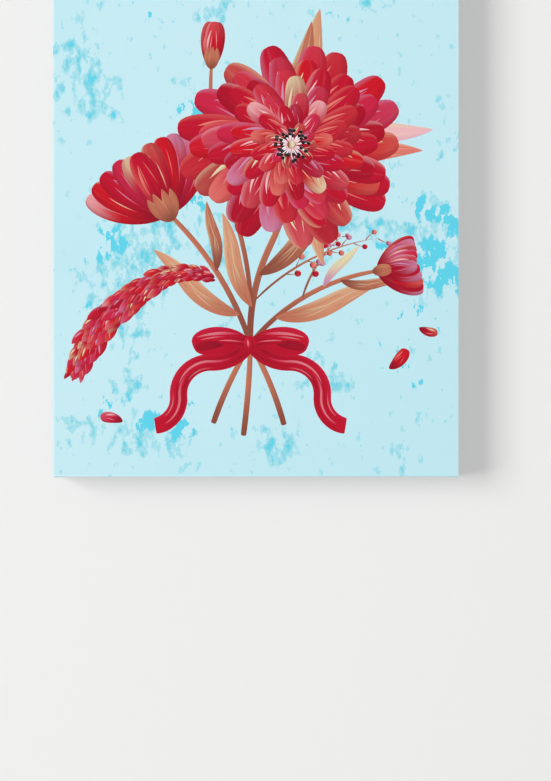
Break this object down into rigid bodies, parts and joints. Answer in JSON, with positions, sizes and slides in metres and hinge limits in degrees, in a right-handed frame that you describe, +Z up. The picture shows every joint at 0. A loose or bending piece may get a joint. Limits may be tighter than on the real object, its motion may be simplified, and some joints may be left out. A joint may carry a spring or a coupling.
{
  "type": "stretched canvas wall print",
  "caption": "Upright printed canvas stretched over a deep wooden frame with a brace, corner keys, a sawtooth hanger and bumpers, hung flat on a wall.",
  "frame": {"origin": "on the wall, level with the top of the hanger's middle notch, where the wall's nail holds the picture", "axes": "+Z up, +Y out of the picture's back into the wall, so the print faces -Y, and +X to the right as seen from the front"},
  "size_m": [0.457, 0.041, 0.61],
  "materials": {
    "canvas": "matt print on woven canvas, off-white inside",
    "pine": "planed, unfinished",
    "hardwood": "sawn, unfinished",
    "steel": "bright zinc plating",
    "rubber": "matt"
  },
  "bodies": {
    "root": {"canvas": "canvas", "bar_top": "pine", "bar_bottom": "pine", "bar_left": "pine", "bar_right": "pine", "brace": "pine", "key_top_1": "hardwood", "key_top_2": "hardwood", "key_bottom_1": "hardwood", "key_bottom_2": "hardwood", "key_left_1": "hardwood", "key_left_2": "hardwood", "key_right_1": "hardwood", "key_right_2": "hardwood", "hanger": "steel", "nail_left": "steel", "nail_right": "steel", "bumper_left": "rubber", "bumper_right": "rubber"}
  },
  "joints": []
}
